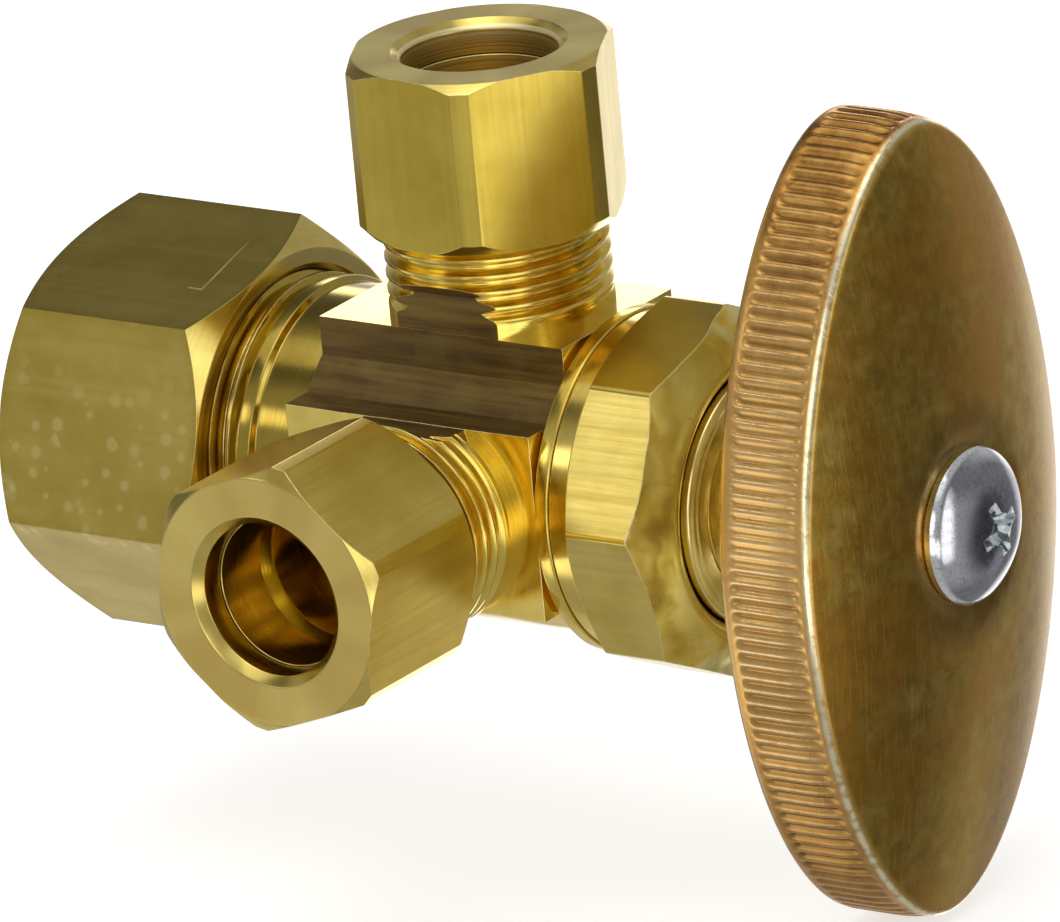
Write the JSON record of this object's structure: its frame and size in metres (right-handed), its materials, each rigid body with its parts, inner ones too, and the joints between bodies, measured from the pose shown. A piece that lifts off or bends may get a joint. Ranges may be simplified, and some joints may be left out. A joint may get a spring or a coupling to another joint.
{
  "type": "angle stop valve",
  "caption": "Angle stop valve with a compression inlet, a top and a front compression outlet, and an oval multi-turn handle opposite the inlet.",
  "frame": {"origin": "the middle of the whole valve's bounding box with the valve closed; the stem axis and the two outlet axes cross at (-2.38, 6.685, -0.735) mm", "axes": "+X along the stem towards the handle, with the inlet on -X; +Z along the top outlet; -Y along the front outlet"},
  "size_m": [0.0686, 0.042, 0.054],
  "materials": {
    "body_brass": "bright machined brass with a brown raw skin between the outlets",
    "nut_brass": "satin drawn brass with machined ends",
    "turned_brass": "fine turned brass",
    "bronze": "antique bronze plate, worn to copper on the knurled rim",
    "plated_steel": "bright zinc plate",
    "graphite": "pressed graphite packing, dull",
    "rubber": "matte",
    "fibre": "vulcanised fibre, matte"
  },
  "bodies": {
    "valve": {"valve_body": "body_brass", "bonnet_nut": "nut_brass", "bonnet": "turned_brass", "bonnet_gasket": "fibre", "packing_washer": "turned_brass", "stem_packing": "graphite", "packing_gland": "turned_brass"},
    "seat_carrier": {"seat_washer": "rubber"},
    "spindle": {"stem": "turned_brass", "seat_washer_screw": "turned_brass", "handle": "bronze", "handle_screw": "plated_steel"},
    "inlet_ring": {"inlet_ferrule": "turned_brass"},
    "inlet_turning_nut": {"inlet_nut": "nut_brass"},
    "top_ring": {"top_outlet_ferrule": "turned_brass"},
    "top_turning_nut": {"top_outlet_nut": "nut_brass"},
    "front_ring": {"front_outlet_ferrule": "turned_brass"},
    "front_turning_nut": {"front_outlet_nut": "nut_brass"}
  },
  "joints": [
    {"name": "stem_lift", "type": "slide", "parent": "valve", "child": "seat_carrier", "axis": [1, 0, 0], "range_m": [0, 0.00381]},
    {"name": "handle_turn", "type": "hinge", "parent": "seat_carrier", "child": "spindle", "pos_m": [-0.00238, 0.00668, -0.00073], "axis": [1, 0, 0], "range_deg": [0, 1080]},
    {"name": "inlet_nut_travel", "type": "slide", "parent": "valve", "child": "inlet_ring", "axis": [-1, 0, 0], "range_m": [0, 0.00847]},
    {"name": "inlet_nut_turn", "type": "hinge", "parent": "inlet_ring", "child": "inlet_turning_nut", "pos_m": [-0.00238, 0.00668, -0.00073], "axis": [-1, 0, 0], "range_deg": [0, 2160]},
    {"name": "top_nut_travel", "type": "slide", "parent": "valve", "child": "top_ring", "axis": [0, 0, 1], "range_m": [0, 0.00529]},
    {"name": "top_nut_turn", "type": "hinge", "parent": "top_ring", "child": "top_turning_nut", "pos_m": [-0.00238, 0.00668, -0.00073], "axis": [0, 0, 1], "range_deg": [0, 1800]},
    {"name": "front_nut_travel", "type": "slide", "parent": "valve", "child": "front_ring", "axis": [0, -1, 0], "range_m": [0, 0.00529]},
    {"name": "front_nut_turn", "type": "hinge", "parent": "front_ring", "child": "front_turning_nut", "pos_m": [-0.00238, 0.00668, -0.00073], "axis": [0, -1, 0], "range_deg": [0, 1800]}
  ],
  "couplings": [
    {"joint": "stem_lift", "follows": "handle_turn", "m_per_rad": 0.00020213},
    {"joint": "inlet_nut_travel", "follows": "inlet_nut_turn", "m_per_rad": 0.00022459},
    {"joint": "top_nut_travel", "follows": "top_nut_turn", "m_per_rad": 0.00016844},
    {"joint": "front_nut_travel", "follows": "front_nut_turn", "m_per_rad": 0.00016844}
  ]
}
